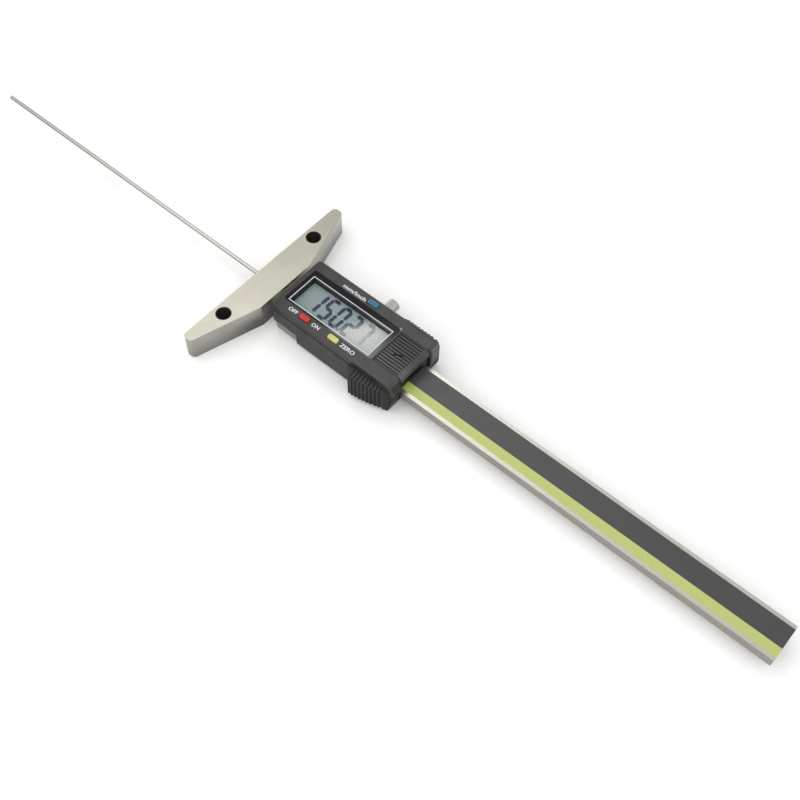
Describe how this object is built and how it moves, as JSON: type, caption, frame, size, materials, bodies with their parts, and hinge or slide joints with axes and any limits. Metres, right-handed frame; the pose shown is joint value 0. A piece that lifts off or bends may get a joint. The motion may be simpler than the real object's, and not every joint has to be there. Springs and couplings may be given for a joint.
{
  "type": "digital depth gauge",
  "caption": "Digital depth gauge with a wide measuring base, a thin depth rod and a display slider that runs on a flat steel beam.",
  "frame": {"origin": "centre of the base's measuring face, on the depth rod's axis", "axes": "+X along the beam, from the measuring face to the beam's far end; +Y across the beam, towards the lock screw; +Z out of the display"},
  "size_m": [0.4387, 0.096, 0.0202],
  "materials": {
    "satin_steel": "satin",
    "ground_steel": "ground, satin",
    "bright_steel": "bright drawn",
    "screw_steel": "plated",
    "black_screw": "blackened",
    "frame_metal": "cast and machined",
    "brass": "plain",
    "scale_laminate": "laminate",
    "printed_film": "printed, satin",
    "black_plastic": "fine grain",
    "bezel_plastic": "satin",
    "clear_window": "clear",
    "lcd_glass": "polariser",
    "zebra_rubber": "plain",
    "circuit_laminate": "solder mask",
    "chip_resin": "resin",
    "switch_plastic": "plain",
    "cell_steel": "plated",
    "contact_metal": "plated spring",
    "button_red": "satin",
    "button_yellow": "satin",
    "button_blue": "satin",
    "knurled_steel": "knurled"
  },
  "bodies": {
    "beam": {"beam": "satin_steel", "scale_board": "scale_laminate", "scale_film": "printed_film", "base": "ground_steel", "beam_screws": "black_screw", "end_stop": "satin_steel", "end_stop_screws": "screw_steel"},
    "slider": {"slide_frame": "frame_metal", "gib_strip": "brass", "gib_screws": "screw_steel", "rod_clamp": "satin_steel", "rod_clamp_screws": "screw_steel", "depth_rod": "bright_steel", "grip_housing": "black_plastic", "top_cover": "black_plastic", "display_bezel": "bezel_plastic", "display_window": "clear_window", "lcd_panel": "lcd_glass", "lcd_connector": "zebra_rubber", "circuit_board": "circuit_laminate", "controller_chip": "chip_resin", "key_switches": "switch_plastic", "battery_cell": "cell_steel", "battery_contact_minus": "contact_metal", "battery_contact_plus": "contact_metal", "cover_screws": "screw_steel"},
    "lock_screw": {"lock_screw": "knurled_steel"},
    "battery_door": {"battery_door": "black_plastic"},
    "button_off_on": {"button_off_on": "button_red"},
    "button_zero": {"button_zero": "button_yellow"},
    "button_mm_inch": {"button_mm_inch": "button_blue"}
  },
  "joints": [
    {"name": "slider_travel", "type": "slide", "parent": "beam", "child": "slider", "axis": [1, 0, 0], "range_m": [0, 0.174]},
    {"name": "lock_screw_turn", "type": "hinge", "parent": "slider", "child": "lock_screw", "pos_m": [0.055, 0, 0.00125], "axis": [0, -1, 0], "range_deg": [-360, 90]},
    {"name": "button_off_on_press", "type": "slide", "parent": "slider", "child": "button_off_on", "axis": [0, 0, -1], "range_m": [0, 0.0005], "stiffness_N_per_m": 1500},
    {"name": "button_zero_press", "type": "slide", "parent": "slider", "child": "button_zero", "axis": [0, 0, -1], "range_m": [0, 0.0005], "stiffness_N_per_m": 1500},
    {"name": "button_mm_inch_press", "type": "slide", "parent": "slider", "child": "button_mm_inch", "axis": [0, 0, -1], "range_m": [0, 0.0005], "stiffness_N_per_m": 1500},
    {"name": "battery_door_slide", "type": "slide", "parent": "slider", "child": "battery_door", "axis": [1, 0, 0], "range_m": [0, 0.016]}
  ]
}
